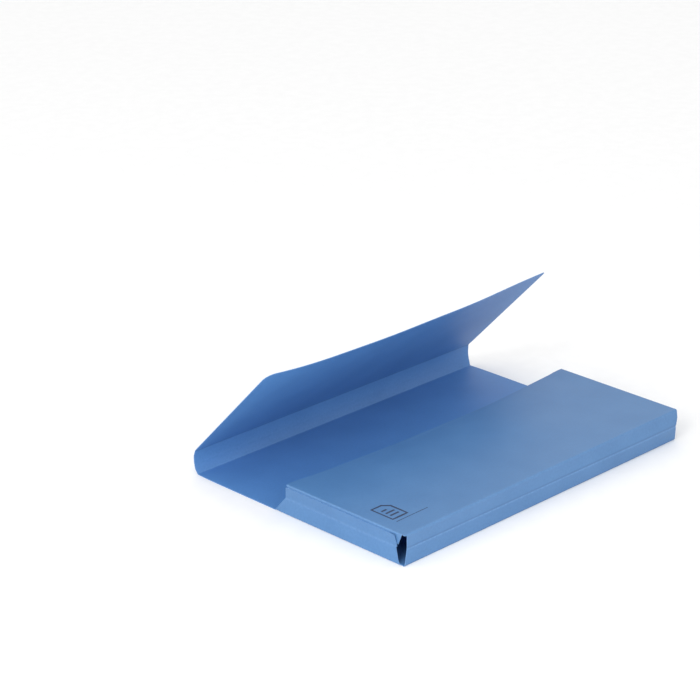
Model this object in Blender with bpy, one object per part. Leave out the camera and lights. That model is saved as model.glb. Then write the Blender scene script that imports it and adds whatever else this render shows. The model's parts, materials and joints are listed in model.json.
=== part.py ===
"""Card document wallet with an expanding pocket and a full-width flap.

One creased card blank, glued along two side tabs. Each panel between two creases is an object of
its own, and hangs on an empty that sits on the crease it turns about. The wallet lies on its back
panel, +X along the base crease, +Y from the base to the spine, +Z up, with the pocket fully
expanded and the flap half open.
"""

import math

import bpy

MM = 0.001

# Driving dimensions of the blank.
WALLET_LENGTH = 355 * MM      # along the base crease
BACK_HEIGHT = 245 * MM        # base crease to spine crease
POCKET_HEIGHT = 133 * MM      # base crease to the pocket's opening edge
POCKET_DEPTH = 29 * MM        # over both faces, fully expanded
CARD = 0.5 * MM               # thickness of the pressboard
SPINE_HALF = 10.26 * MM       # crease to crease, each half of the spine strip
FLAP_LENGTH = 133 * MM        # flap crease to free edge
FLAP_INSET = 0.3 * MM         # the flap is this much narrower on each side
FLAP_CORNER = 8 * MM          # radius of the flap's free corners
ADHESIVE = 0.1 * MM           # thickness of a glue line

# A crease turns about an axis on its inner side, at this distance from the card's mid-surface.
CREASE = 1 * MM
CREASE_OUTER = CREASE + CARD / 2
PANEL_GAP = 0.2 * MM          # a panel stops this far short of its crease line
LAYER_GAP = 0.15 * MM         # clearance between the layers that are glued together
EDGE_INSET = 0.5 * MM         # the spine and the base gusset are this much narrower on each side

# Fold angles of the pose that is modelled, in degrees. 0 is flat.
SPINE_FOLD = 69
SPINE_MIDDLE_FOLD = 27
FLAP_FOLD = 37
BASE_FOLD = 90
BASE_MIDDLE_FOLD = 0

# Ends of the side gusset, as distances from the base.
GUSSET_CORNER = 2 * MM        # rear half, at the back panel
GUSSET_WAIST = 8.5 * MM       # both halves, at the middle crease
FRONT_HALF_START = 12 * MM    # front half, at the pocket front
GUSSET_END = 146 * MM         # rear half, at the back panel
GUSSET_WAIST_END = 134 * MM   # rear half, at the middle crease
TAB_START = 3 * MM            # tab, at the pocket front
TAB_WAIST = 6.5 * MM          # tab, at its free edge
TAB_END = 131 * MM
RAW_EDGE = 1.5 * MM           # the front half starts this far below the pocket's side crease
TAB_EDGE = 2 * MM             # the tab's free edge stops this far short of the middle crease
GLUE_MARGIN = 2 * MM          # the glue line keeps this far inside the two layers

# Derived sizes of the folding linkage.
LINK = (POCKET_DEPTH - 2 * CREASE_OUTER) / 2
LAYER_STEP = CARD + 2 * LAYER_GAP + ADHESIVE
REAR_OFFSET = 2 * CREASE
FRONT_OFFSET = 2 * CREASE + LAYER_STEP
REAR_WIDTH = math.sqrt(LINK**2 - REAR_OFFSET**2)
FRONT_WIDTH = math.sqrt(LINK**2 - FRONT_OFFSET**2)
REAR_LEAN = math.degrees(math.asin(REAR_OFFSET / LINK))
FRONT_LEAN = math.degrees(math.asin(FRONT_OFFSET / LINK))
HALF_LENGTH = WALLET_LENGTH / 2
CREASED_HALF = HALF_LENGTH - CREASE_OUTER

# Card colours, linear: the outer faces, and the spine and flap that face the light differently.
CARD_BLUE = (0.16, 0.27, 0.50)
SPINE_BLUE = (0.14, 0.25, 0.50)
ADHESIVE_CREAM = (0.75, 0.70, 0.55)


def remove_all_objects():
    for old in list(bpy.data.objects):
        bpy.data.objects.remove(old, do_unlink=True)


def make_collection(name):
    collection = bpy.data.collections.new(name)
    bpy.context.scene.collection.children.link(collection)
    return collection


def make_material(name, colour, roughness):
    material = bpy.data.materials.new(name)
    material.use_nodes = True
    shader = material.node_tree.nodes["Principled BSDF"]
    shader.inputs["Base Color"].default_value = (*colour, 1)
    shader.inputs["Roughness"].default_value = roughness
    shader.inputs["Metallic"].default_value = 0
    return material


def crease(name, collection, parent, location, turn=0, fold=0):
    """An empty on a crease's axis. Its X runs along the crease, and its Y leads on over the card.

    turn points Y across the parent panel, and fold then lifts it towards the wallet's inside.
    """
    axis = bpy.data.objects.new(name, None)
    axis.empty_display_size = 0.02
    axis.location = location
    axis.rotation_euler = (math.radians(fold), 0, math.radians(turn))
    axis.parent = parent
    collection.objects.link(axis)
    return axis


def sheet(name, collection, axis, outline, height, thickness=CARD, colour=CARD_BLUE):
    """A flat piece with a drawn outline, centred on a height above its crease's axis."""
    drawing = bpy.data.curves.new(name, "CURVE")
    drawing.dimensions = "2D"
    drawing.fill_mode = "BOTH"
    drawing.extrude = thickness / 2
    edge = drawing.splines.new("POLY")
    edge.points.add(len(outline) - 1)
    for point, (across, along) in zip(edge.points, outline):
        point.co = (across, along, 0, 1)
    edge.use_cyclic_u = True
    drawing.materials.append(make_material(name + "_finish", colour, 0.55))
    piece = bpy.data.objects.new(name, drawing)
    piece.location = (0, 0, height)
    piece.parent = axis
    collection.objects.link(piece)
    return piece


def rectangle(half_width, start, end):
    return [(-half_width, start), (half_width, start), (half_width, end), (-half_width, end)]


def rounded_corner(centre, radius, first, last, steps=6):
    """Points along an arc, from one angle to another in degrees."""
    angles = [math.radians(first + (last - first) * i / steps) for i in range(steps + 1)]
    return [(centre[0] + radius * math.cos(a), centre[1] + radius * math.sin(a)) for a in angles]


def back_outline(base, spine):
    """Narrow where the side gussets are creased on, and full width behind them."""
    narrow = CREASED_HALF - PANEL_GAP
    step = GUSSET_END + CREASE
    return [
        (-narrow, base + PANEL_GAP),
        (narrow, base + PANEL_GAP),
        (narrow, step),
        (HALF_LENGTH, step),
        (HALF_LENGTH, spine - PANEL_GAP),
        (-HALF_LENGTH, spine - PANEL_GAP),
        (-HALF_LENGTH, step),
        (-narrow, step),
    ]


def flap_outline():
    half = HALF_LENGTH - FLAP_INSET
    centre = half - FLAP_CORNER
    top = FLAP_LENGTH - FLAP_CORNER
    right = rounded_corner((centre, top), FLAP_CORNER, 0, 90)
    left = rounded_corner((-centre, top), FLAP_CORNER, 90, 180)
    return [(-half, PANEL_GAP), (half, PANEL_GAP)] + right + left


def build_spine_and_flap(collection, origin, spine):
    """Back panel, spine strip in two halves, and flap, each creased to the one before."""
    half = HALF_LENGTH - EDGE_INSET
    strip = rectangle(half, PANEL_GAP, SPINE_HALF - PANEL_GAP)
    next_crease = (0, SPINE_HALF, 0)
    spine_axis = crease("spine_fold", collection, origin, (0, spine, CREASE_OUTER), 0, SPINE_FOLD)
    sheet("spine_lower", collection, spine_axis, strip, -CREASE, colour=SPINE_BLUE)
    middle = crease("spine_middle_fold", collection, spine_axis, next_crease, 0, SPINE_MIDDLE_FOLD)
    sheet("spine_upper", collection, middle, strip, -CREASE, colour=SPINE_BLUE)
    flap_axis = crease("flap_fold", collection, middle, next_crease, 0, FLAP_FOLD)
    sheet("flap", collection, flap_axis, flap_outline(), -CREASE)


def build_base_and_pocket(collection, origin, base):
    """Base gusset in two halves, then the pocket front. Returns the pocket front's axis."""
    half = HALF_LENGTH - EDGE_INSET
    strip = rectangle(half, PANEL_GAP, LINK - PANEL_GAP)
    next_crease = (0, LINK, 0)
    base_axis = crease("base_fold", collection, origin, (0, base, CREASE_OUTER), 180, BASE_FOLD)
    sheet("base_gusset_rear", collection, base_axis, strip, -CREASE)
    middle = crease("base_middle_fold", collection, base_axis, next_crease, 0, BASE_MIDDLE_FOLD)
    sheet("base_gusset_front", collection, middle, strip, -CREASE)
    pocket_axis = crease("pocket_fold", collection, middle, next_crease, 0, BASE_FOLD)
    pocket = rectangle(CREASED_HALF - PANEL_GAP, PANEL_GAP, POCKET_HEIGHT - base)
    sheet("pocket_front", collection, pocket_axis, pocket, -CREASE)
    return pocket_axis


def side_outline(direction, base, ends):
    """A side panel's outline: ends are (distance from the base, distance from the crease)."""
    return [(direction * (along - base), across) for along, across in ends]


def build_side(collection, origin, pocket_axis, base, side, sign):
    """One side gusset with the tab and the glue line that hold it to the pocket front."""
    rear_ends = [
        (GUSSET_CORNER, PANEL_GAP),
        (GUSSET_END, PANEL_GAP),
        (GUSSET_WAIST_END, REAR_WIDTH - PANEL_GAP),
        (GUSSET_WAIST, REAR_WIDTH - PANEL_GAP),
    ]
    front_ends = [
        (GUSSET_WAIST, PANEL_GAP),
        (POCKET_HEIGHT, PANEL_GAP),
        (POCKET_HEIGHT, FRONT_WIDTH - RAW_EDGE),
        (FRONT_HALF_START, FRONT_WIDTH - RAW_EDGE),
    ]
    tab_edge = FRONT_WIDTH - TAB_EDGE
    tab_ends = [
        (TAB_START, PANEL_GAP),
        (TAB_END, PANEL_GAP),
        (TAB_END, tab_edge),
        (TAB_WAIST, tab_edge),
    ]
    glue_near = RAW_EDGE + GLUE_MARGIN
    glue_far = tab_edge - GLUE_MARGIN
    glue_ends = [
        (FRONT_HALF_START + GLUE_MARGIN, glue_near),
        (TAB_END - GLUE_MARGIN, glue_near),
        (TAB_END - GLUE_MARGIN, glue_far),
        (FRONT_HALF_START + GLUE_MARGIN, glue_far),
    ]

    rear_axis = crease(
        side + "_gusset_fold",
        collection,
        origin,
        (sign * CREASED_HALF, base, CREASE_OUTER),
        -90 * sign,
        90 + REAR_LEAN,
    )
    rear = side_outline(-sign, base, rear_ends)
    sheet(side + "_gusset_rear", collection, rear_axis, rear, -CREASE)

    middle = crease(
        side + "_gusset_middle_fold",
        collection,
        rear_axis,
        (0, REAR_WIDTH, -REAR_OFFSET),
        0,
        -REAR_LEAN - FRONT_LEAN,
    )
    front = side_outline(-sign, base, front_ends)
    sheet(side + "_gusset_front", collection, middle, front, CREASE)

    tab_axis = crease(
        side + "_tab_fold",
        collection,
        pocket_axis,
        (-sign * CREASED_HALF, 0, 0),
        90 * sign,
        90 + FRONT_LEAN,
    )
    tab = side_outline(sign, base, tab_ends)
    sheet(side + "_side_tab", collection, tab_axis, tab, -CREASE)
    glue = side_outline(sign, base, glue_ends)
    sheet(
        side + "_glue_line",
        collection,
        tab_axis,
        glue,
        -CREASE - LAYER_STEP / 2,
        thickness=ADHESIVE,
        colour=ADHESIVE_CREAM,
    )


def spine_position():
    """Distance from the base to the spine crease's axis, and to the strip's outermost edge."""
    axis = BACK_HEIGHT - CREASE_OUTER * math.tan(math.radians(SPINE_FOLD / 2))
    lower = math.radians(SPINE_FOLD)
    upper = math.radians(SPINE_FOLD + SPINE_MIDDLE_FOLD)
    bulge = SPINE_HALF * math.cos(lower) + PANEL_GAP * math.cos(upper)
    return axis, axis + bulge + CREASE_OUTER * math.sin(upper)


def main():
    remove_all_objects()
    collection = make_collection("document_wallet")
    base = CREASE_OUTER
    spine, outermost = spine_position()
    origin = crease("wallet_base_edge", collection, None, (0, -outermost / 2, 0))
    back = back_outline(base, spine)
    sheet("back_panel", collection, origin, back, CARD / 2)
    build_spine_and_flap(collection, origin, spine)
    pocket_axis = build_base_and_pocket(collection, origin, base)
    for side, sign in (("left", -1), ("right", 1)):
        build_side(collection, origin, pocket_axis, base, side, sign)


main()
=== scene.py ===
"""Card document wallet with an expanding pocket and a full-width flap: the visual model.

The wallet is one creased blank of blue pressboard, glued along two side tabs. Each card piece here is
an outline drawn on the flat blank, filled with small triangles, carried onto the folded shape and
given the card's thickness. A point of the flat blank is (u, v) in metres. u runs along the base crease
from the wallet's middle, and over the edge of a panel it runs on across the side gusset or the tab.
v runs from the pocket's opening edge over the base, the back panel and the spine to the flap's free
edge, and v = 0 is the corner between the base gusset and the back panel.
"""

import json
import math

import bpy
import numpy as np
from mathutils import Matrix, Vector
from mathutils.geometry import delaunay_2d_cdt


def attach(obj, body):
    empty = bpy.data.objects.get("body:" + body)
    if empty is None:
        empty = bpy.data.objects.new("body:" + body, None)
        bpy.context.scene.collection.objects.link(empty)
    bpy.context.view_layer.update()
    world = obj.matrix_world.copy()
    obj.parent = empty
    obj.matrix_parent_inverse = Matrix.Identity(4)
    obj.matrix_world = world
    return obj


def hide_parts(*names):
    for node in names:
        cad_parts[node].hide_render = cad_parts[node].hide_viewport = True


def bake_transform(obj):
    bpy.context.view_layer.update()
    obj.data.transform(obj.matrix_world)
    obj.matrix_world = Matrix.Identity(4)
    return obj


MM = 0.001

# Sizes of the blank, as in the CAD part, and the curve of its spine.
HALF = 177.5 * MM             # half of the wallet's length
CARD = 0.5 * MM               # thickness of the pressboard
CREASE = 1 * MM               # crease axis to the card's mid-surface
POCKET_HEIGHT = 133 * MM      # base to the pocket's opening edge
FLAP_LENGTH = 133 * MM        # flap crease to the free edge
REAR_LEAN = 8.68              # degrees that the side gusset's rear half leans inwards
FRONT_LEAN = 12.64            # degrees that its front half leans outwards, and the tab with it
FRONT_WIDTH = 12.93 * MM      # side gusset's front half, crease to crease
LAYER_STEP = 0.9 * MM         # between the mid-surfaces of the tab and of the layer glued on it
FLAP_HEADING = 133            # direction in which the flap leaves its crease, 0 is along the back panel
SPINE_START = 60              # direction of the curved spine at the spine crease
SPINE_END = 105               # and at the flap crease
SPINE_CURL = 0.36             # how far the spine keeps those directions, as a share of its width
SPINE_STEPS = 40              # points along its curve

# Outlines of the panels, as distances from the corner lines of the blank or from the half length.
SEAM = 4.5 * MM               # the pieces join this far from a corner line
SIDE_SEAM = 4 * MM            # and this far up the side gusset
END_INSET = 0.4 * MM          # the card's ends stop this far short of the half length at the base creases
CORNER_INSET = 0.5 * MM       # this far on the line between the base gusset and the back panel
END_TURN = 0.7 * MM           # and this far where they turn into the side creases
END_STEP = 0.8 * MM           # they do so over this length
NICK = 1.2 * MM               # the notch at the back panel's corner starts this far from the creases
EDGE_INSET = 0.1 * MM         # the spine is this much narrower on each side
FLAP_INSET = 0.3 * MM
CREASE_RELIEF = 0.7 * MM      # the outline is drawn in this much at the spine and flap creases
RELIEF_START = 24 * MM        # before the spine crease, where it starts to be drawn in
RELIEF_EDGE = 1.5 * MM        # on either side of the spine crease, where it is drawn in fully
FLAP_RELIEF_EDGE = 1 * MM     # and of the flap crease
FLAP_RELIEF_END = 5 * MM      # past the flap crease, where the flap has its own width
FLAP_CORNERS = {-1: 9 * MM, 1: 4 * MM}  # radius of the flap's free corners, left and right
GUSSET_CORNER = 2 * MM        # the side gusset's crease starts here, at the back panel
GUSSET_START = 4.4 * MM       # its rear half starts here
GUSSET_NEAR_SEAM = 7.2 * MM   # here at the seam between its two pieces
GUSSET_WAIST = 10.8 * MM      # and here at the middle crease
FRONT_WAIST = 9.6 * MM        # the front half starts here at the middle crease
FRONT_START = 10.2 * MM       # and here at its raw edge
GUSSET_END = 147.5 * MM       # the rear half ends here, at the back panel
GUSSET_WAIST_END = 137.6 * MM  # and here, at the middle crease
FRONT_WAIST_END = 136.8 * MM  # the front half ends here at the middle crease
FRONT_END = 135 * MM          # and here at its raw edge
WAIST_TURN = 0.3 * MM         # the outline turns this far before and after the middle crease
WAIST_END_TURN = 0.6 * MM     # and this far before it at the other end
FRONT_CORNER = (0.9 * MM, 1.1 * MM)  # across and along the gusset, cut off the raw edge's far corner
RAW_EDGE = 1.1 * MM           # the front half ends this far short of the pocket's side crease
RAW_EDGE_TURN = 1.4           # degrees that it is pressed towards the tab, which closes the glued seam
GUSSET_MIDWAY = 70 * MM       # the side gusset's bends are measured at this v
TAB_MIDWAY = -90 * MM         # and the tab's at this one
TAB_START = 3 * MM            # the tab starts here at the pocket's side crease
TAB_WAIST = 9 * MM            # and here at its free edge
TAB_END = 131 * MM            # and ends here
TAB_SLOPE = 3 * MM            # it slopes from the end to the opening edge, this far from the side crease
TAB_TIP = ((1 * MM, 0.4 * MM), (-0.2 * MM, 0))  # past the side crease, short of the opening edge
TAB_EDGE = 2 * MM             # the tab's free edge stops this far short of the middle crease

# The base gusset is cut in at its ends, most of all at its middle crease: front, three quarters of the
# way to the front, middle and rear, for the left end and for the right end.
BASE_INSETS = {-1: (2.9 * MM, 4 * MM, 5.2 * MM, 0.9 * MM), 1: (0.3 * MM, 0.4 * MM, 3.4 * MM, 0.5 * MM)}

OPENING_RISE = {-1: 1.5 * MM, 1: 0}  # the opening edge's ends are this much further from the base

# How the card departs from flat panels. A skew above 1 moves the deepest place to the right, a greater
# spread widens it, and a greater curve keeps the sag nearer to the free edge.
POCKET_SAG = 5.5 * MM         # middle of the pocket's opening edge
POCKET_SAG_SKEW = 1.15
POCKET_SAG_SPREAD = 2.4
POCKET_SAG_CURVE = 3.2
SIDE_STIFFENING = 14 * MM     # the pocket sags less, this near to its side creases
FLAP_SAG = 5.8 * MM           # middle of the flap's free edge
FLAP_SAG_SKEW = 0.76
FLAP_SAG_CURVE = 1.5
BASE_INWARD = -1.9 * MM       # base gusset's middle crease, left end
BASE_OUTWARD = 2.6 * MM       # and right end
DEPTH_CHANGE = {-1: -0.045, 1: 0.026}  # of the pocket at its left and right end, as a share
BUCKLE = 0.25 * MM            # gentle unevenness of the large panels
# Its waves: height, length along u and along v for one radian, and phase.
BUCKLE_WAVES = ((1, 31 * MM, 47 * MM, 0), (0.6, 17 * MM, -29 * MM, 1.3))
BUCKLE_START = 8 * MM         # there is none this near to a crease
BUCKLE_FULL = 50 * MM         # and all of it this far away
BUCKLE_FULL_AT_SPINE = 40 * MM
BUCKLE_FULL_AT_SIDES = 30 * MM
CREASE_WANDER = 0.35 * MM     # of the side gusset's middle crease
WANDER_PITCH = 19 * MM
WANDER_REACH = 5 * MM
END_CURL = 0.9 * MM           # near end of the side gusset's front half, where it is not glued
END_CURL_STOP = 18 * MM       # the curl and the glue meet here
END_CURL_RISE = 8 * MM
SCORE_DEPTH = 0.3 * MM        # a pressed crease line
SCORE_WIDTH = 1 * MM
SCORE_PLACE = 0.42            # of the line along the spine, as a share of the spine's width
SPINE_SCORE = 0.3             # and its depth, as a share of the base gusset's line

# Glue and ink.
GLUE = 0.1 * MM
GLUE_MARGIN = 2 * MM          # the glue keeps this far inside the two layers
GLUE_STEPS = 60               # points along each of its long edges
GLUE_WAVE = 0.4 * MM          # unevenness of those edges
NEAR_WAVE_PITCH = 6 * MM      # of the edge by the pocket's side crease
FAR_WAVE_PITCH = 9 * MM       # and of the other
INK = 0.03 * MM
INK_GAP = 0.01 * MM
FINE_LINE = 0.7 * MM          # width of a thin printed line
MARK_LINE = 2 * MM            # and of the three lines on the printed page
PAGE_LINE = 2.2 * MM          # and of the page's own outline
WRITING_LINES = (76 * MM, 89 * MM, 102 * MM)  # from the flap crease
PAGE_LINES = ((33 * MM, 10 * MM), (38 * MM, 10 * MM), (43 * MM, 6 * MM))  # from the base, and length

# Spacing of the grid that the triangles follow, closer where the card bends.
PANEL_GRID = 6 * MM
SIDE_GRID = 5 * MM            # along the side gussets and the tabs
STRIP_GRID = 1.5 * MM         # across them, and across the base gusset
FINE_GRID = 1 * MM            # across the spine and the base crease, and near the panels' ends
END_REACH = 5 * MM            # how near to an end that is
CREASE_GRID = 0.4 * MM        # across a rounded crease
BASE_SCORE_GRID = 0.35 * MM   # across the base gusset's pressed line
SPINE_SCORE_GRID = 0.3 * MM   # and across the spine's
SPINE_SCORE_REACH = 1.5 * MM
SHARP_ANGLE = 35              # degrees between faces, above which their edge stays sharp
LEAST_MARGIN = 0.12 * MM      # no point of the grid is nearer than this to an outline
LEAST_GAP = 0.02 * MM         # the grid's cuts through a straight edge are further apart than this

# Stage, in metres and watts.
FLOOR_REACH = 12.0
FLOOR_DROP = 0.1 * MM         # the floor lies this far below the wallet
LIGHTS = {
    "key": {"place": (-1.5, -0.5, 0.95), "aim": (0, 0.05, 0.04), "size": 0.9, "power": 11.5},
    "front": {"place": (-0.65, -0.8, 0.15), "aim": (-0.13, -0.1, 0.03), "size": 0.27, "power": 1.57},
}
STUDIO_LIGHT = 0.98           # strength of the even light from all round
CAMERA_PLACE = (-1.4292, -1.27512, 0.8709)
CAMERA_AIM = (0.66607, 0.64553, -0.37370)
CAMERA_RIGHT = (0.69857, -0.71548, 0.00919)
CAMERA_SENSOR = 36            # millimetres, and so is the lens
CAMERA_LENS = 122.76

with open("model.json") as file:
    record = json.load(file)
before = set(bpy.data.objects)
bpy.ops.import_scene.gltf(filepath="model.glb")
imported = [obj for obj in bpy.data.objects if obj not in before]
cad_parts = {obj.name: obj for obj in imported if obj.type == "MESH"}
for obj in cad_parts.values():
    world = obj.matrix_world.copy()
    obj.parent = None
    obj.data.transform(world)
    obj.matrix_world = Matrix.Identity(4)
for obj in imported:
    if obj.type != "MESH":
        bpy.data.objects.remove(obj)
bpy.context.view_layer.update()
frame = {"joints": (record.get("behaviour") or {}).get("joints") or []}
pivots = {joint["name"]: Vector(joint["pos_m"]) for joint in frame["joints"]}


def heading(degrees):
    angle = math.radians(degrees)
    return np.array((math.cos(angle), math.sin(angle)))


def outward(degrees):
    """The side of the card that becomes the wallet's outside, for a card that runs along a heading."""
    angle = math.radians(degrees)
    return np.array((math.sin(angle), -math.cos(angle)))


def crease_axis(joint):
    return np.array((pivots[joint].y, pivots[joint].z))


def bezier(start, start_heading, end, end_heading, reach, steps):
    t = np.linspace(0, 1, steps)[:, None]
    near = start + reach * heading(start_heading)
    far = end - reach * heading(end_heading)
    return (1 - t) ** 3 * start + 3 * (1 - t) ** 2 * t * near + 3 * (1 - t) * t**2 * far + t**3 * end


def distances_along(points):
    steps = np.linalg.norm(np.diff(points, axis=0), axis=1)
    return np.concatenate(([0], np.cumsum(steps)))


def extended(along, points, reach=20 * MM):
    """A path with both of its ends run on, so that softening a crease near an end stays true."""
    first = points[0] + (points[0] - points[1]) / (along[1] - along[0]) * reach
    last = points[-1] + (points[-1] - points[-2]) / (along[-1] - along[-2]) * reach
    along = np.concatenate(([along[0] - reach], along, [along[-1] + reach]))
    return along, np.vstack((first, points, last))


# The blank's cross-section from the pocket's opening edge to the flap's free edge, as (y, z).
base_corner = crease_axis("base_fold") + CREASE * np.array((-1, -1))
pocket_corner = crease_axis("pocket_fold") + CREASE * np.array((-1, 1))
opening = pocket_corner + np.array((POCKET_HEIGHT - CARD / 2, 0))
spine_corner = crease_axis("spine_fold") + CREASE * np.array((math.tan(math.radians(SPINE_START / 2)), -1))
flap_root = crease_axis("flap_fold") + CREASE * outward(FLAP_HEADING)
flap_bend = math.radians(FLAP_HEADING - SPINE_END)
flap_corner = flap_root - CREASE * math.tan(flap_bend / 2) * heading(FLAP_HEADING)
free_edge = flap_root + FLAP_LENGTH * heading(FLAP_HEADING)
spine_reach = SPINE_CURL * np.linalg.norm(flap_corner - spine_corner)
spine_curve = bezier(spine_corner, SPINE_START, flap_corner, SPINE_END, spine_reach, SPINE_STEPS)
main_points = np.vstack((opening, pocket_corner, base_corner, spine_curve, free_edge))
main_v = distances_along(main_points)
V_POCKET = main_v[1] - main_v[2]
V_SPINE = main_v[3] - main_v[2]
V_FLAP = main_v[-2] - main_v[2]
V_FREE = main_v[-1] - main_v[2]
V_OPEN = main_v[0] - main_v[2]
V_MIDDLE = V_POCKET / 2
V_SCORE = V_SPINE + SCORE_PLACE * (V_FLAP - V_SPINE)
main_v, main_points = extended(main_v - main_v[2], main_points)

# The side gusset's cross-section from the back panel to its raw edge, as (distance from the middle, z).
rear_axis = np.array((abs(pivots["left_gusset_fold"].x), pivots["left_gusset_fold"].z))
side_middle_axis = np.array((rear_axis[0], pivots["left_gusset_middle_fold"].z))
tab_axis = np.array((rear_axis[0], pivots["left_tab_fold"].z))
rear_heading = 90 + REAR_LEAN
front_heading = 90 - FRONT_LEAN
inner_edge = HALF - SEAM
side_corner = rear_axis + CREASE * np.array((math.tan(math.radians(rear_heading / 2)), -1))
middle_bend = math.radians(rear_heading - front_heading)
middle_facing = outward((rear_heading + front_heading) / 2)
side_middle = side_middle_axis - CREASE / math.cos(middle_bend / 2) * middle_facing
front_root = side_middle_axis - CREASE * outward(front_heading)
raw_edge = front_root + (FRONT_WIDTH - RAW_EDGE) * heading(front_heading + RAW_EDGE_TURN)
gusset_points = np.vstack(((inner_edge, side_corner[1]), side_corner, side_middle, raw_edge))
gusset_u = distances_along(gusset_points) + inner_edge
U_CORNER, U_MIDDLE, U_RAW = gusset_u[1:]
gusset_u, gusset_points = extended(gusset_u, gusset_points)

# The tab's cross-section from the pocket front to the tab's free edge, measured the same way.
tab_bend = math.radians(90 + FRONT_LEAN)
tab_corner = tab_axis + CREASE * np.array((math.tan(tab_bend / 2), 1))
tab_root = tab_axis + CREASE * outward(front_heading)
tab_edge = tab_root - (FRONT_WIDTH - TAB_EDGE) * heading(front_heading)
tab_points = np.vstack(((inner_edge, tab_corner[1]), tab_corner, tab_edge))
tab_u = distances_along(tab_points) + inner_edge
U_TAB, U_TAB_EDGE = tab_u[1:]
tab_u, tab_points = extended(tab_u, tab_points)

# Softening: each point of a surface is a weighted mean of the sharply folded path around it.
TAPS = 15
TAP_STEPS = (np.arange(TAPS) + 0.5) / TAPS - 0.5
TAP_WEIGHTS = (1 + np.cos(2 * math.pi * TAP_STEPS)) / TAPS

# Widths over which the creases are rounded, and over which the base gusset's middle crease moves.
POCKET_CREASE_LEFT = 7.5 * MM
POCKET_CREASE_RIGHT = 4 * MM
BASE_CREASE = 4 * MM
BASE_FOLD = 2.8 * MM
SPINE_CREASE = 3 * MM
FLAP_CREASE = 2.6 * MM
SIDE_CREASE = 3 * MM


def smooth_rise(values, start, stop):
    t = np.clip((values - start) / (stop - start), 0, 1)
    return t * t * (3 - 2 * t)


def share_along(u, half_width):
    """0 at a panel's left end and 1 at its right end."""
    return np.clip(u / half_width / 2 + 0.5, 0, 1)


def crease_width(u, v):
    """The width over which the crease nearest to a point is rounded."""
    pocket = POCKET_CREASE_LEFT + (POCKET_CREASE_RIGHT - POCKET_CREASE_LEFT) * share_along(u, HALF)
    width = np.where(v < V_MIDDLE, pocket, BASE_CREASE)
    width = np.where(v > V_SPINE / 2, SPINE_CREASE, width)
    return np.where(v > (V_SPINE + V_FLAP) / 2, FLAP_CREASE, width)


def pocket_sag(u, v):
    """How far the pocket front hangs, most of all in the middle of its opening edge."""
    from_crease = np.clip((V_POCKET - v) / (V_POCKET - V_OPEN), 0, 1)
    skewed = share_along(u, inner_edge) ** POCKET_SAG_SKEW
    sides = smooth_rise(inner_edge - np.abs(u), 0, SIDE_STIFFENING)
    across = (1 - np.abs(2 * skewed - 1) ** POCKET_SAG_SPREAD) * sides
    return POCKET_SAG * across * from_crease**POCKET_SAG_CURVE


def flap_sag(u, v):
    """How far the flap sags inwards, most of all in the middle of its free edge."""
    from_crease = np.clip((v - V_FLAP) / (V_FREE - V_FLAP), 0, 1.05)
    across = np.sin(math.pi * share_along(u, HALF) ** FLAP_SAG_SKEW)
    return FLAP_SAG * across * from_crease**FLAP_SAG_CURVE


def buckle(u, v):
    """Gentle waves on the pocket front, the back panel and the flap, none at their creases.

    The waves on the back panel only lift it, because it lies on the floor.
    """
    waves = np.zeros_like(v)
    highest = 0
    for height, along, across, phase in BUCKLE_WAVES:
        waves += height * np.sin(u / along + v / across + phase)
        highest += height
    pocket = smooth_rise(V_POCKET - v, BUCKLE_START, BUCKLE_FULL)
    back = smooth_rise(v, BUCKLE_START, BUCKLE_FULL)
    back = back * smooth_rise(V_SPINE - v, BUCKLE_START, BUCKLE_FULL_AT_SPINE)
    flap = smooth_rise(v, V_FLAP + BUCKLE_START, V_FLAP + BUCKLE_FULL)
    sides = smooth_rise(inner_edge - np.abs(u), 0, BUCKLE_FULL_AT_SIDES)
    lifted = 0.5 * (waves + highest)
    return BUCKLE * (waves * pocket * sides + lifted * back * sides + waves * flap)


def score_lines(u, v):
    """Pressed lines in the middle of the base gusset and, fainter, along the spine, as a depth."""
    depth = np.zeros_like(v)
    for line, share in ((V_MIDDLE, 1), (V_SCORE, SPINE_SCORE)):
        depth += share * np.exp(-(((v - line) / SCORE_WIDTH) ** 2))
    return SCORE_DEPTH * depth


def with_pocket_depth(u, z):
    """Heights in the pocket, which is a little shallower at its left end and deeper at its right."""
    share = 1 + DEPTH_CHANGE[-1] + (DEPTH_CHANGE[1] - DEPTH_CHANGE[-1]) * share_along(u, HALF)
    return CARD / 2 + (z - CARD / 2) * share


def main_surface(u, v):
    """The blank's mid-surface over the pocket front, base gusset, back panel, spine and flap."""
    width = crease_width(u, v)
    bulge = BASE_INWARD + (BASE_OUTWARD - BASE_INWARD) * (u / HALF / 2 + 0.5)
    y = np.zeros_like(u)
    z = np.zeros_like(u)
    for weight, step in zip(TAP_WEIGHTS, TAP_STEPS):
        at = v + step * width
        y += weight * np.interp(at, main_v, main_points[:, 0])
        y -= weight * bulge * np.interp(at, (V_POCKET, V_MIDDLE, 0), (0, 1, 0))
        z += weight * np.interp(at, main_v, main_points[:, 1])
    z = np.where(v < V_SPINE / 2, with_pocket_depth(u, z), z) - pocket_sag(u, v)
    facing = outward(FLAP_HEADING)
    y -= flap_sag(u, v) * facing[0]
    z -= flap_sag(u, v) * facing[1]
    wave = buckle(u, v)
    y += np.where(v > V_FLAP, wave * facing[0], 0)
    z += np.where(v > V_FLAP, wave * facing[1], wave)
    return np.stack((u, y, z), axis=1)


def softened(at, path_u, points):
    """Points of a folded path with its creases rounded."""
    result = np.zeros((len(at), 2))
    for weight, step in zip(TAP_WEIGHTS, TAP_STEPS):
        where = at + step * SIDE_CREASE
        result[:, 0] += weight * np.interp(where, path_u, points[:, 0])
        result[:, 1] += weight * np.interp(where, path_u, points[:, 1])
    return result


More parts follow.
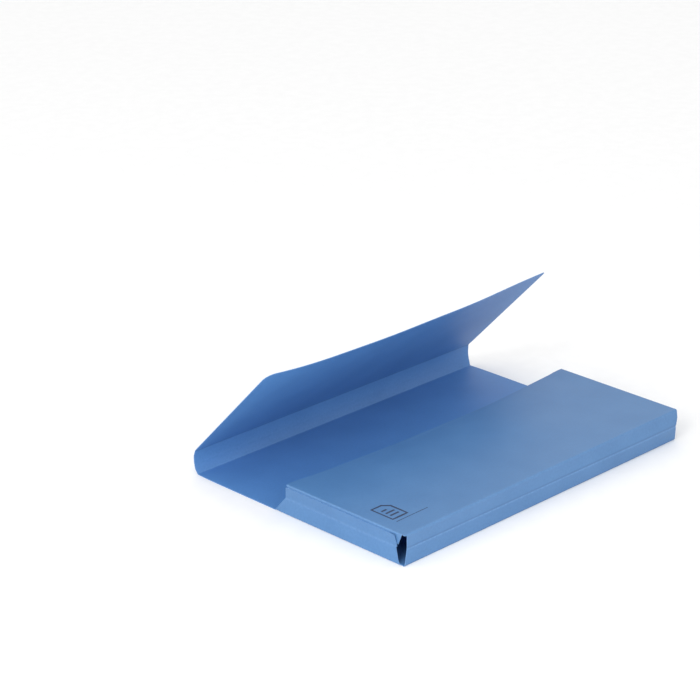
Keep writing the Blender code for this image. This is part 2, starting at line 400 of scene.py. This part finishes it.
def gusset_surface(u, v):
    """The side gusset's mid-surface with the strip of back panel that it is creased from.

    Its middle crease wanders a little, and the near end of its front half stands off the tab.
    """
    section = softened(np.abs(u), gusset_u, gusset_points)
    near_crease = np.exp(-(((np.abs(u) - U_MIDDLE) / WANDER_REACH) ** 2))
    wander = CREASE_WANDER * np.sin(v / WANDER_PITCH) * near_crease
    front_half = smooth_rise(np.abs(u), U_MIDDLE, U_RAW)
    curl = END_CURL * front_half * smooth_rise(END_CURL_STOP - v, 0, END_CURL_RISE)
    x = np.sign(u) * (section[:, 0] + wander + curl)
    return np.stack((x, base_corner[0] + v, with_pocket_depth(u, section[:, 1])), axis=1)


def tab_surface(u, v):
    """The tab's mid-surface with the strip of pocket front that it is creased from."""
    section = softened(np.abs(u), tab_u, tab_points)
    z = with_pocket_depth(u, section[:, 1])
    return np.stack((np.sign(u) * section[:, 0], base_corner[0] + V_POCKET - v, z), axis=1)


def placed(surface, u, v):
    """Points of a surface and the normals on the wallet's inner side."""
    step = 0.05 * MM
    along = surface(u + step, v) - surface(u - step, v)
    across = surface(u, v + step) - surface(u, v - step)
    normals = np.cross(along, across)
    normals /= np.linalg.norm(normals, axis=1)[:, None]
    points = surface(u, v)
    if surface is main_surface:
        points = points + normals * score_lines(u, v)[:, None]
    return points, normals


def lines(low, high, pitch, *fine):
    """Even values from low to high, with closer ones around each (centre, reach, step) in fine."""
    coarse = np.linspace(low, high, max(2, round((high - low) / pitch) + 1))
    kept = [x for x in coarse if all(abs(x - centre) > reach for centre, reach, step in fine)]
    for centre, reach, step in fine:
        count = round(2 * reach / step) + 1
        kept += [x for x in np.linspace(centre - reach, centre + reach, count) if low < x < high]
    return np.array(sorted(set(kept)))


def divided(outline, u_lines, v_lines):
    """An outline with a point wherever it crosses a line of the grid."""
    points = []
    for start, end in zip(outline, outline[1:] + outline[:1]):
        cuts = [0.0]
        for axis, values in ((0, u_lines), (1, v_lines)):
            span = end[axis] - start[axis]
            if abs(span) > 1e-9:
                cuts += [t for t in (values - start[axis]) / span if 1e-4 < t < 1 - 1e-4]
        cuts = sorted(cuts)
        gap = LEAST_GAP / max(math.dist(start, end), 1e-9)
        kept = [t for i, t in enumerate(cuts) if i == 0 or t - cuts[i - 1] > gap]
        points += [(start[0] + (end[0] - start[0]) * t, start[1] + (end[1] - start[1]) * t) for t in kept]
    return points


def well_inside(points, outline, margin):
    """Which points lie inside an outline, at least a margin away from it."""
    start = np.array(outline)
    edge = np.roll(start, -1, axis=0) - start
    offset = points[:, None, :] - start[None, :, :]
    length = np.maximum((edge**2).sum(axis=1), 1e-18)
    t = np.clip((offset * edge).sum(axis=2) / length, 0, 1)
    nearest = np.linalg.norm(offset - t[:, :, None] * edge, axis=2).min(axis=1)
    rising = (offset[:, :, 1] >= 0) != (offset[:, :, 1] - edge[:, 1] >= 0)
    slope = np.where(edge[:, 1] == 0, 1, edge[:, 1])
    crossing = offset[:, :, 0] < offset[:, :, 1] * edge[:, 0] / slope
    inside = (rising & crossing).sum(axis=1) % 2 == 1
    return inside & (nearest > margin)


def filled(outline, u_lines, v_lines):
    """Triangles that fill an outline, with corners on the grid: (points, triangles)."""
    ring = divided(outline, u_lines, v_lines)
    grid = np.array([(u, v) for u in u_lines for v in v_lines])
    inner = grid[well_inside(grid, outline, LEAST_MARGIN)]
    points = [Vector(p) for p in ring] + [Vector(p) for p in inner]
    edges = [(i, (i + 1) % len(ring)) for i in range(len(ring))]
    found = delaunay_2d_cdt(points, edges, [], 1, 1e-7)
    return np.array([tuple(p) for p in found[0]]), [tuple(face) for face in found[2]]


def rim_edges(triangles):
    directed = {(t[i], t[(i + 1) % 3]) for t in triangles for i in range(3)}
    return sorted(edge for edge in directed if (edge[1], edge[0]) not in directed)


def closed_sheet(surface, outline, u_lines, v_lines, thickness, lift):
    """One sheet's corners, their points on the flat blank, its faces and the side that each face is on.

    The sides are 0 for the inner face, 1 for the outer face and 2 for the rim.
    """
    flat, triangles = filled(outline, u_lines, v_lines)
    places, normals = placed(surface, flat[:, 0], flat[:, 1])
    inner = places + normals * (lift + thickness / 2)
    outer = places + normals * (lift - thickness / 2)
    back = len(flat)
    rim = rim_edges(triangles)
    faces = list(triangles)
    faces += [tuple(back + i for i in reversed(t)) for t in triangles]
    faces += [(a, back + a, back + b, b) for a, b in rim]
    sides = [0] * len(triangles) + [1] * len(triangles) + [2] * len(rim)
    return np.vstack((inner, outer)), np.vstack((flat, flat)), faces, sides


def solid(name, surface, outlines, u_lines, v_lines, materials, thickness=CARD, lift=0.0):
    """A closed piece of even thickness that follows a surface, lifted off it towards the inside.

    The materials are those of its inner face, its outer face and its rim, or one for all three.
    """
    vertices, flat, faces, sides = [], [], [], []
    for outline in outlines:
        first = len(vertices)
        sheet = closed_sheet(surface, outline, u_lines, v_lines, thickness, lift)
        vertices += list(sheet[0])
        flat += list(sheet[1])
        faces += [tuple(first + i for i in face) for face in sheet[2]]
        sides += sheet[3]
    mesh = bpy.data.meshes.new(name)
    mesh.from_pydata([tuple(p) for p in vertices], [], faces)
    for material in materials:
        mesh.materials.append(material)
    mesh.polygons.foreach_set("material_index", [min(side, len(materials) - 1) for side in sides])
    layer = mesh.uv_layers.new(name="flat_blank")
    for loop in mesh.loops:
        layer.data[loop.index].uv = flat[loop.vertex_index]
    mesh.polygons.foreach_set("use_smooth", [True] * len(faces))
    mesh.set_sharp_from_angle(angle=math.radians(SHARP_ANGLE))
    piece = bpy.data.objects.new(name, mesh)
    bpy.context.scene.collection.objects.link(piece)
    return piece


# Materials.


def new_material(name):
    material = bpy.data.materials.new(name)
    material.use_nodes = True
    return material, material.node_tree, material.node_tree.nodes["Principled BSDF"]


def add_node(tree, kind, inputs, **settings):
    """A node with its settings made and its inputs, named or numbered, set to values or linked."""
    node = tree.nodes.new(kind)
    for key, value in settings.items():
        setattr(node, key, value)
    for key, value in inputs.items():
        if isinstance(value, bpy.types.NodeSocket):
            tree.links.new(value, node.inputs[key])
        else:
            node.inputs[key].default_value = value
    return node


def flat_blank(tree):
    """Where a point lies on the flat blank, in metres."""
    return add_node(tree, "ShaderNodeUVMap", {}, uv_map="flat_blank").outputs[0]


def calculated(tree, operation, first, second=0.0):
    return add_node(tree, "ShaderNodeMath", {0: first, 1: second}, operation=operation).outputs[0]


def added(tree, *shares):
    """The sum of (value, weight) pairs."""
    total = 0.0
    for value, weight in shares:
        total = calculated(tree, "ADD", total, calculated(tree, "MULTIPLY", value, weight))
    return total


def noise(tree, vector, scale, detail, roughness=0.5):
    inputs = {"Vector": vector, "Scale": scale, "Detail": detail, "Roughness": roughness}
    return add_node(tree, "ShaderNodeTexNoise", inputs).outputs["Fac"]


def fibres_at(tree, vector, scale, turn):
    """Short fibres that lie at an angle."""
    inputs = {"Vector": vector, "Rotation": (0, 0, math.radians(turn)), "Scale": scale}
    return noise(tree, add_node(tree, "ShaderNodeMapping", inputs).outputs[0], 1, 2)


def mixed(tree, share, first, second):
    return add_node(tree, "ShaderNodeMix", {0: share, 6: first, 7: second}, data_type="RGBA").outputs[2]


def ramp(tree, value, low, high, low_result, high_result):
    inputs = {0: value, 1: low, 2: high, 3: low_result, 4: high_result}
    return add_node(tree, "ShaderNodeMapRange", inputs, interpolation_type="SMOOTHSTEP").outputs[0]


def bump(tree, height, strength, distance):
    inputs = {"Strength": strength, "Distance": distance, "Height": height}
    return add_node(tree, "ShaderNodeBump", inputs).outputs[0]


def near_line(tree, value, line, reach):
    """1 on a line of the blank, falling to 0 at a distance from it."""
    away = calculated(tree, "ABSOLUTE", calculated(tree, "SUBTRACT", value, line))
    return ramp(tree, away, 0, reach, 1.0, 0.0)


OUTSIDE_DARK = (0.063, 0.174, 0.375, 1)
OUTSIDE_LIGHT = (0.090, 0.222, 0.448, 1)
# The inside face is bluer and more saturated than the outside: painted bounce light, standing for the blue
# light reflected around inside the wallet.
INSIDE_DARK_PAINTED_BOUNCE = (0.070, 0.203, 0.470, 1)
INSIDE_LIGHT_PAINTED_BOUNCE = (0.098, 0.256, 0.560, 1)
# Paler colour for the creases: partly worn card, partly a painted highlight.
PALE_CREASE_AND_HIGHLIGHT = (0.160, 0.310, 0.560, 1)
# Painted shade for the pressed lines.
PAINTED_CREASE_SHADE = (0.040, 0.125, 0.300, 1)
EDGE_DARK = (0.10, 0.23, 0.48, 1)
EDGE_LIGHT = (0.19, 0.35, 0.62, 1)
INK_DARK = (0.010, 0.018, 0.050, 1)
INK_LIGHT = (0.026, 0.050, 0.120, 1)
GLUE_DARK = (0.62, 0.56, 0.42, 1)
GLUE_LIGHT = (0.80, 0.76, 0.62, 1)
FLOOR_DARK = (0.95, 0.95, 0.95, 1)
FLOOR_LIGHT = (0.97, 0.97, 0.97, 1)


def crease_wear_and_highlight(tree, flat):
    """Up to 1 along the creases, where the card is drawn paler: partly stretched, worn card and partly a
    painted highlight on the creases.

    A row holds a line of the blank, how far in millimetres the paler band reaches from it, and its
    strength.
    """
    parts = add_node(tree, "ShaderNodeSeparateXYZ", {0: flat})
    outer = calculated(tree, "ABSOLUTE", parts.outputs[0])
    across = (
        (V_POCKET, 3.0, 0.35),
        (V_MIDDLE + 0.6 * MM, 1.2, 1.0),
        (0, 1.4, 0.8),
        (V_SPINE, 1.5, 0.8),
    )
    along = ((U_CORNER, 1.6, 1.0), (U_MIDDLE, 2.2, 0.7))
    worn_and_highlight = 0.0
    for lines_of_blank, value in ((across, parts.outputs[1]), (along, outer)):
        for line, reach, share in lines_of_blank:
            here = calculated(tree, "MULTIPLY", near_line(tree, value, line, reach * MM), share)
            worn_and_highlight = calculated(tree, "MAXIMUM", worn_and_highlight, here)
    return worn_and_highlight


def painted_crease_shade(tree, flat):
    """1 along the pressed lines, where the card is darkened by painted shade: a line just above the base
    gusset's middle crease and one along the flap crease.
    """
    across = add_node(tree, "ShaderNodeSeparateXYZ", {0: flat}).outputs[1]
    base = near_line(tree, across, V_MIDDLE - 1 * MM, 1.2 * MM)
    flap = near_line(tree, across, V_FLAP, 1.3 * MM)
    return calculated(tree, "MAXIMUM", base, flap)


def card_material(name, dark, light, smooth, rough):
    """Dyed pressboard: cloudy tone, short fibres, a calendered face, paler along the creases from wear and
    a painted highlight, darker along the pressed lines from painted shade.
    """
    material, tree, shader = new_material(name)
    flat = flat_blank(tree)
    clouds = noise(tree, flat, 26, 3)
    mottle = noise(tree, flat, 420, 5, 0.62)
    grain = noise(tree, flat, 2600, 2)
    steep = fibres_at(tree, flat, (420, 3400, 1), 24)
    shallow = fibres_at(tree, flat, (3000, 380, 1), 12)
    fibres = calculated(tree, "MAXIMUM", steep, shallow)
    tone = added(tree, (clouds, 0.28), (mottle, 0.47), (fibres, 0.25))
    body = mixed(tree, ramp(tree, tone, 0.3, 0.72, 0.0, 1.0), dark, light)
    # Paler along the creases: partly wear, partly a painted highlight.
    worn_and_highlight = calculated(tree, "MULTIPLY", crease_wear_and_highlight(tree, flat), ramp(tree, mottle, 0.35, 0.65, 0.35, 1.0))
    colour = mixed(tree, calculated(tree, "MULTIPLY", worn_and_highlight, 0.5), body, PALE_CREASE_AND_HIGHLIGHT)
    # Darker along the pressed lines: painted shade.
    painted_shade = calculated(tree, "MULTIPLY", painted_crease_shade(tree, flat), 0.5)
    tree.links.new(mixed(tree, painted_shade, colour, PAINTED_CREASE_SHADE), shader.inputs["Base Color"])
    gloss = added(tree, (mottle, 1.0), (worn_and_highlight, 0.2))
    tree.links.new(ramp(tree, gloss, 0.3, 0.9, smooth, rough), shader.inputs["Roughness"])
    height = added(tree, (fibres, 1.0), (grain, 0.6), (mottle, 1.0))
    tree.links.new(bump(tree, height, 0.35, 0.05 * MM), shader.inputs["Normal"])
    return material


def cut_edge_material():
    """The die-cut edge of the card: paler, dry, with the plies showing as streaks."""
    material, tree, shader = new_material("card_cut_edge")
    streaks = noise(tree, flat_blank(tree), 700, 4, 0.6)
    colour = mixed(tree, ramp(tree, streaks, 0.35, 0.65, 0.0, 1.0), EDGE_DARK, EDGE_LIGHT)
    tree.links.new(colour, shader.inputs["Base Color"])
    tree.links.new(ramp(tree, streaks, 0.3, 0.7, 0.7, 0.9), shader.inputs["Roughness"])
    tree.links.new(bump(tree, streaks, 0.4, 0.05 * MM), shader.inputs["Normal"])
    return material


def ink_material():
    """Thin slate ink that lets the card's grain show through in tone and in gloss."""
    material, tree, shader = new_material("slate_ink")
    speckle = noise(tree, flat_blank(tree), 900, 4, 0.6)
    colour = mixed(tree, ramp(tree, speckle, 0.35, 0.7, 0.0, 1.0), INK_DARK, INK_LIGHT)
    tree.links.new(colour, shader.inputs["Base Color"])
    tree.links.new(ramp(tree, speckle, 0.3, 0.7, 0.42, 0.6), shader.inputs["Roughness"])
    tree.links.new(bump(tree, speckle, 0.2, 0.02 * MM), shader.inputs["Normal"])
    return material


def glue_material():
    """Dried adhesive: cream, slightly glossy, uneven."""
    material, tree, shader = new_material("dried_adhesive")
    lumps = noise(tree, flat_blank(tree), 240, 3)
    colour = mixed(tree, ramp(tree, lumps, 0.3, 0.7, 0.0, 1.0), GLUE_DARK, GLUE_LIGHT)
    tree.links.new(colour, shader.inputs["Base Color"])
    tree.links.new(ramp(tree, lumps, 0.3, 0.7, 0.28, 0.5), shader.inputs["Roughness"])
    tree.links.new(bump(tree, lumps, 0.5, 0.1 * MM), shader.inputs["Normal"])
    return material


def floor_material():
    material, tree, shader = new_material("pale_floor")
    place = add_node(tree, "ShaderNodeTexCoord", {}).outputs["Object"]
    grain = noise(tree, place, 60, 3)
    colour = mixed(tree, ramp(tree, grain, 0.3, 0.7, 0.0, 1.0), FLOOR_DARK, FLOOR_LIGHT)
    tree.links.new(colour, shader.inputs["Base Color"])
    shader.inputs["Roughness"].default_value = 0.9
    return material


card_materials = (
    # The inside colours carry painted bounce light; the higher roughness is a matt inner face.
    card_material("pressboard_inside_painted_bounce", INSIDE_DARK_PAINTED_BOUNCE, INSIDE_LIGHT_PAINTED_BOUNCE, 0.50, 0.66),
    card_material("pressboard_outside", OUTSIDE_DARK, OUTSIDE_LIGHT, 0.40, 0.56),
    cut_edge_material(),
)
ink = ink_material()
glue = glue_material()


# Card pieces.


def both_ends(end):
    """A whole outline from a function that gives one end of it as (distance from the middle, v)."""
    return end(1) + [(-u, v) for u, v in reversed(end(-1))]


def rounded(centre, radius, first, last, steps=10):
    angles = [math.radians(first + (last - first) * i / steps) for i in range(steps + 1)]
    return [(centre[0] + radius * math.cos(a), centre[1] + radius * math.sin(a)) for a in angles]


fine_ends = [(end, END_REACH, FINE_GRID) for end in (-HALF, HALF)]
wide_lines = lines(-HALF, HALF, PANEL_GRID, *fine_ends)
spine_edge = HALF - EDGE_INSET


def base_point(sign, v):
    """The point of the base gusset's end at a distance v across it."""
    return (HALF - np.interp(v, (V_POCKET, 0.75 * V_POCKET, V_MIDDLE, 0), BASE_INSETS[sign]), v)


def around(line, width):
    """The closer lines that a rounded crease needs."""
    return (line, width / 2 + CREASE_GRID, CREASE_GRID)


def main_piece(name, end, v_lines, bend, nodes):
    """A card piece on the main surface.

    Its outline comes from a function for either end, and it stands for the CAD nodes given.
    """
    piece = solid(name, main_surface, [both_ends(end)], wide_lines, v_lines, card_materials)
    middle = np.zeros(2)
    places, _ = placed(main_surface, middle, np.array(bend))
    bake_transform(piece)
    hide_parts(*nodes)


def pocket_end(sign):
    tip = V_POCKET - TAB_START
    return [
        (inner_edge, V_OPEN - OPENING_RISE[sign]),
        (inner_edge, tip),
        (HALF - END_TURN, tip),
        (HALF - END_INSET, tip + END_STEP),
        (HALF - END_INSET, V_POCKET - END_INSET),
        base_point(sign, V_POCKET + 2 * END_TURN),
        base_point(sign, V_POCKET + SEAM),
    ]


def build_pocket_front():
    v_lines = lines(V_OPEN, V_POCKET + SEAM, PANEL_GRID, around(V_POCKET, POCKET_CREASE_LEFT))
    reach = POCKET_CREASE_LEFT / 2
    bend = (V_POCKET + reach, V_POCKET - reach)
    main_piece("pocket_front_card", pocket_end, v_lines, bend, ["pocket_front"])


def base_end(sign):
    values = (V_POCKET + SEAM, 0.75 * V_POCKET, V_MIDDLE, -SEAM)
    return [base_point(sign, v) for v in values]


def build_base_gusset():
    v_lines = lines(V_POCKET + SEAM, -SEAM, STRIP_GRID, (V_MIDDLE, BASE_FOLD, BASE_SCORE_GRID))
    reach = BASE_FOLD / 2
    bend = (V_MIDDLE + reach, V_MIDDLE - reach)
    nodes = ["base_gusset_rear", "base_gusset_front"]
    main_piece("base_gusset_card", base_end, v_lines, bend, nodes)


def base_crease_end(sign):
    return [
        base_point(sign, -SEAM),
        base_point(sign, -NICK),
        (HALF - CORNER_INSET, 0),
        (HALF - END_INSET, END_STEP),
        (HALF - END_TURN, GUSSET_CORNER),
        (inner_edge, GUSSET_CORNER),
        (inner_edge, SEAM),
    ]


def build_base_crease():
    """The strip between the base gusset and the back panel. It stands for no node of its own."""
    v_lines = lines(-SEAM, SEAM, FINE_GRID, around(0, BASE_CREASE))
    bend = (BASE_CREASE / 2, -BASE_CREASE / 2)
    main_piece("base_crease_card", base_crease_end, v_lines, bend, [])


def back_end(sign):
    return [
        (inner_edge, SEAM),
        (inner_edge, GUSSET_END),
        (HALF, GUSSET_END),
        (HALF, V_SPINE - RELIEF_START),
        (HALF - CREASE_RELIEF / 4, V_SPINE - RELIEF_START / 2),
        (HALF - CREASE_RELIEF, V_SPINE - RELIEF_EDGE),
        (HALF - CREASE_RELIEF, V_SPINE + RELIEF_EDGE),
        (spine_edge, V_SPINE + SEAM),
    ]


def build_back_panel():
    v_lines = lines(SEAM, V_SPINE + SEAM, PANEL_GRID, around(V_SPINE, SPINE_CREASE))
    reach = SPINE_CREASE / 2
    bend = (V_SPINE - reach, V_SPINE + reach)
    main_piece("back_panel_card", back_end, v_lines, bend, ["back_panel"])


def spine_end(sign):
    return [(spine_edge, V_SPINE + SEAM), (spine_edge, V_FLAP - SEAM)]


def build_spine():
    """The spine, curved over all its width."""
    bend = (V_SPINE + SEAM, V_FLAP - SEAM)
    score = (V_SCORE, SPINE_SCORE_REACH, SPINE_SCORE_GRID)
    v_lines = lines(V_SPINE + SEAM, V_FLAP - SEAM, FINE_GRID, score)
    main_piece("spine_card", spine_end, v_lines, bend, ["spine_lower", "spine_upper"])


def flap_end(sign):
    edge = HALF - FLAP_INSET
    radius = FLAP_CORNERS[sign]
    return [
        (spine_edge, V_FLAP - SEAM),
        (HALF - CREASE_RELIEF, V_FLAP - FLAP_RELIEF_EDGE),
        (HALF - CREASE_RELIEF, V_FLAP + FLAP_RELIEF_EDGE),
        (edge, V_FLAP + FLAP_RELIEF_END),
        *rounded((edge - radius, V_FREE - radius), radius, 0, 90),
    ]


def build_flap():
    v_lines = lines(V_FLAP - SEAM, V_FREE, PANEL_GRID, around(V_FLAP, FLAP_CREASE))
    reach = FLAP_CREASE / 2
    bend = (V_FLAP - reach, V_FLAP + reach)
    main_piece("flap_card", flap_end, v_lines, bend, ["flap"])


def on_side(outline, sign):
    return [(sign * u, v) for u, v in outline]


def side_lines(sign, low, high, *fine):
    values = lines(low, high, STRIP_GRID, *fine)
    return np.sort(sign * values)


# Where the two pieces of a side gusset join, and the lines along the gussets and the tabs.
u_seam = U_CORNER + SIDE_SEAM
v_seam_end = GUSSET_END + (GUSSET_WAIST_END - GUSSET_END) * SIDE_SEAM / (U_MIDDLE - U_CORNER)
gusset_lines = lines(0, GUSSET_END, SIDE_GRID)
tab_lines = lines(V_OPEN, V_POCKET, SIDE_GRID)


def side_card(name, sign, surface, outline, v_lines, crease):
    """A card piece on one side with one rounded crease."""
    across = [u for u, v in outline]
    u_lines = side_lines(sign, min(across), max(across), around(crease, SIDE_CREASE))
    piece = solid(name, surface, [on_side(outline, sign)], u_lines, v_lines, card_materials)
    u_ends = sign * np.array((crease - SIDE_CREASE / 2, crease + SIDE_CREASE / 2))
    midway = TAB_MIDWAY if surface is tab_surface else GUSSET_MIDWAY
    places, _ = placed(surface, u_ends, np.array((midway, midway)))
    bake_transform(piece)
    return piece


def build_side_crease(side, sign):
    """The strip between the back panel and the side gusset. It stands for no node of its own."""
    outline = [
        (inner_edge, GUSSET_CORNER),
        (U_CORNER - NICK, GUSSET_CORNER),
        (U_CORNER, GUSSET_START),
        (u_seam, GUSSET_NEAR_SEAM),
        (u_seam, v_seam_end),
        (U_CORNER, GUSSET_END),
        (inner_edge, GUSSET_END),
    ]
    name = side + "_back_crease_card"
    side_card(name, sign, gusset_surface, outline, gusset_lines, U_CORNER)


def build_side_gusset(side, sign):
    outline = [
        (u_seam, GUSSET_NEAR_SEAM),
        (U_MIDDLE - WAIST_TURN, GUSSET_WAIST),
        (U_MIDDLE + WAIST_TURN, FRONT_WAIST),
        (U_RAW, FRONT_START),
        (U_RAW, FRONT_END - FRONT_CORNER[1]),
        (U_RAW - FRONT_CORNER[0], FRONT_END),
        (U_MIDDLE, FRONT_WAIST_END),
        (U_MIDDLE - WAIST_END_TURN, GUSSET_WAIST_END),
        (u_seam, v_seam_end),
    ]
    name = side + "_gusset_card"
    piece = side_card(name, sign, gusset_surface, outline, gusset_lines, U_MIDDLE)
    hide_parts(side + "_gusset_rear", side + "_gusset_front")


def build_side_tab(side, sign):
    opening_end = V_OPEN - OPENING_RISE[sign]
    outline = [
        (inner_edge, V_POCKET - TAB_START),
        (U_TAB, V_POCKET - TAB_START),
        (U_TAB_EDGE, V_POCKET - TAB_WAIST),
        (U_TAB_EDGE, V_POCKET - TAB_END),
        (U_TAB + TAB_SLOPE, V_POCKET - TAB_END),
        *[(U_TAB + across, opening_end + along) for across, along in TAB_TIP],
        (inner_edge, opening_end),
    ]
    piece = side_card(side + "_tab_card", sign, tab_surface, outline, tab_lines, U_TAB)
    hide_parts(side + "_side_tab")


def build_glue_strip(side, sign):
    """The glue between the tab and the side gusset's front half."""
    near = U_TAB + RAW_EDGE + GLUE_MARGIN
    far = U_TAB_EDGE - GLUE_MARGIN
    steps = np.linspace(V_POCKET - END_CURL_STOP, V_POCKET - TAB_END + GLUE_MARGIN, GLUE_STEPS)
    outline = [(near + GLUE_WAVE * math.sin(v / NEAR_WAVE_PITCH), v) for v in steps]
    outline += [(far + GLUE_WAVE * math.sin(v / FAR_WAVE_PITCH), v) for v in reversed(steps)]
    piece = solid(
        side + "_glue_strip",
        tab_surface,
        [on_side(outline, sign)],
        side_lines(sign, near, far),
        tab_lines,
        [glue],
        thickness=GLUE,
        lift=-LAYER_STEP / 2,
    )
    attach(piece, side + "_tab")
    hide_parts(side + "_glue_line")


# Printing, on the wallet's outside.


def line_across(low_u, high_u, v, width):
    """The outline of a straight line that runs along the creases."""
    low_v = v - width / 2
    high_v = v + width / 2
    return [(low_u, low_v), (high_u, low_v), (high_u, high_v), (low_u, high_v)]


def ribbon(path, width):
    """The outline of a line of even width along a path."""
    points = np.array(path)
    ahead = np.roll(points, -1, axis=0) - points
    ahead[-1] = ahead[-2]
    behind = np.roll(ahead, 1, axis=0)
    behind[0] = ahead[0]
    run = ahead / np.linalg.norm(ahead, axis=1)[:, None] + behind / np.linalg.norm(behind, axis=1)[:, None]
    run /= np.linalg.norm(run, axis=1)[:, None]
    aside = np.stack((-run[:, 1], run[:, 0]), axis=1) * width / 2
    return [tuple(p) for p in points - aside] + [tuple(p) for p in (points + aside)[::-1]]


def printed(name, outlines, v_lines, body):
    lift = -(CARD / 2 + INK_GAP + INK / 2)
    piece = solid(name, main_surface, outlines, wide_lines, v_lines, [ink], thickness=INK, lift=lift)
    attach(piece, body)


def build_flap_print():
    """A stepped border line, which runs along the crease, and three lines to write on."""
    left = -HALF + 17.5 * MM
    right = HALF - 20.5 * MM
    low_end = V_FLAP + 9.5 * MM
    level = V_FLAP + 30.5 * MM
    high_end = V_FLAP + 110 * MM
    radius = 8 * MM
    border = [(left, low_end)]
    border += rounded((left + radius, level - radius), radius, 180, 90)
    border += rounded((right - radius, level + radius), radius, 270, 360)
    border.append((right, high_end))
    outlines = [ribbon(border, FINE_LINE)]
    writing_start = HALF - 94.5 * MM
    writing_end = HALF - 34.5 * MM
    for row in WRITING_LINES:
        outlines.append(line_across(writing_start, writing_end, V_FLAP + row, FINE_LINE))
    v_lines = lines(V_FLAP, V_FREE, PANEL_GRID)
    printed("flap_print", outlines, v_lines, "flap_panel")


def build_pocket_print():
    """A plain page with three lines on it, over a rule."""
    left = -HALF + 15 * MM
    right = left + 17 * MM
    low = V_POCKET - 27 * MM
    high = V_POCKET - 51 * MM
    cut = 5.5 * MM
    join = (left + right) / 2
    gap_at_join = 0.03 * MM
    page_edge = [
        (join, low),
        (right, low),
        (right, high + cut),
        (right - cut, high),
        (left, high),
        (left, low),
        (join - gap_at_join, low),
    ]
    outlines = [ribbon(page_edge, PAGE_LINE)]
    mark_start = left + 3.5 * MM
    for row, length in PAGE_LINES:
        outlines.append(line_across(mark_start, mark_start + length, V_POCKET - row, MARK_LINE))
    rule_start = left - 0.9 * MM
    rule_end = left + 36 * MM
    outlines.append(line_across(rule_start, rule_end, V_POCKET - 22 * MM, FINE_LINE))
    v_lines = lines(V_POCKET - 60 * MM, V_POCKET - 18 * MM, PANEL_GRID)
    printed("pocket_print", outlines, v_lines, "pocket")


# Floor, light and camera.


def build_stage():
    mesh = bpy.data.meshes.new("floor")
    signs = ((-1, -1), (1, -1), (1, 1), (-1, 1))
    mesh.from_pydata([(x * FLOOR_REACH, y * FLOOR_REACH, 0) for x, y in signs], [], [(0, 1, 2, 3)])
    mesh.materials.append(floor_material())
    floor = bpy.data.objects.new("floor", mesh)
    floor.location.z = -FLOOR_DROP
    bpy.context.scene.collection.objects.link(floor)

    world = bpy.data.worlds.new("studio")
    world.use_nodes = True
    background = world.node_tree.nodes["Background"]
    background.inputs["Color"].default_value = (1, 1, 1, 1)
    background.inputs["Strength"].default_value = STUDIO_LIGHT
    bpy.context.scene.world = world
    bpy.context.scene.view_settings.view_transform = "Standard"


def area_light(name, place, aim, size, power):
    lamp = bpy.data.lights.new(name, "AREA")
    lamp.shape = "DISK"
    lamp.size = size
    lamp.energy = power
    light = bpy.data.objects.new(name, lamp)
    light.location = place
    light.rotation_euler = (Vector(aim) - Vector(place)).to_track_quat("-Z", "Y").to_euler()
    bpy.context.scene.collection.objects.link(light)


def build_camera():
    data = bpy.data.cameras.new("camera")
    data.sensor_width = CAMERA_SENSOR
    data.lens = CAMERA_LENS
    camera = bpy.data.objects.new("camera", data)
    camera.location = CAMERA_PLACE
    towards = Vector(CAMERA_AIM).normalized()
    right = Vector(CAMERA_RIGHT)
    right = (right - towards * right.dot(towards)).normalized()
    up = right.cross(towards)
    camera.rotation_euler = Matrix((right, up, -towards)).transposed().to_euler()
    bpy.context.scene.collection.objects.link(camera)
    bpy.context.scene.camera = camera


build_pocket_front()
build_base_gusset()
build_base_crease()
build_back_panel()
build_spine()
build_flap()
for side, sign in (("left", -1), ("right", 1)):
    build_side_crease(side, sign)
    build_side_gusset(side, sign)
    build_side_tab(side, sign)
    build_glue_strip(side, sign)
build_flap_print()
build_pocket_print()
build_stage()
for name, light in LIGHTS.items():
    area_light(name, **light)
build_camera()
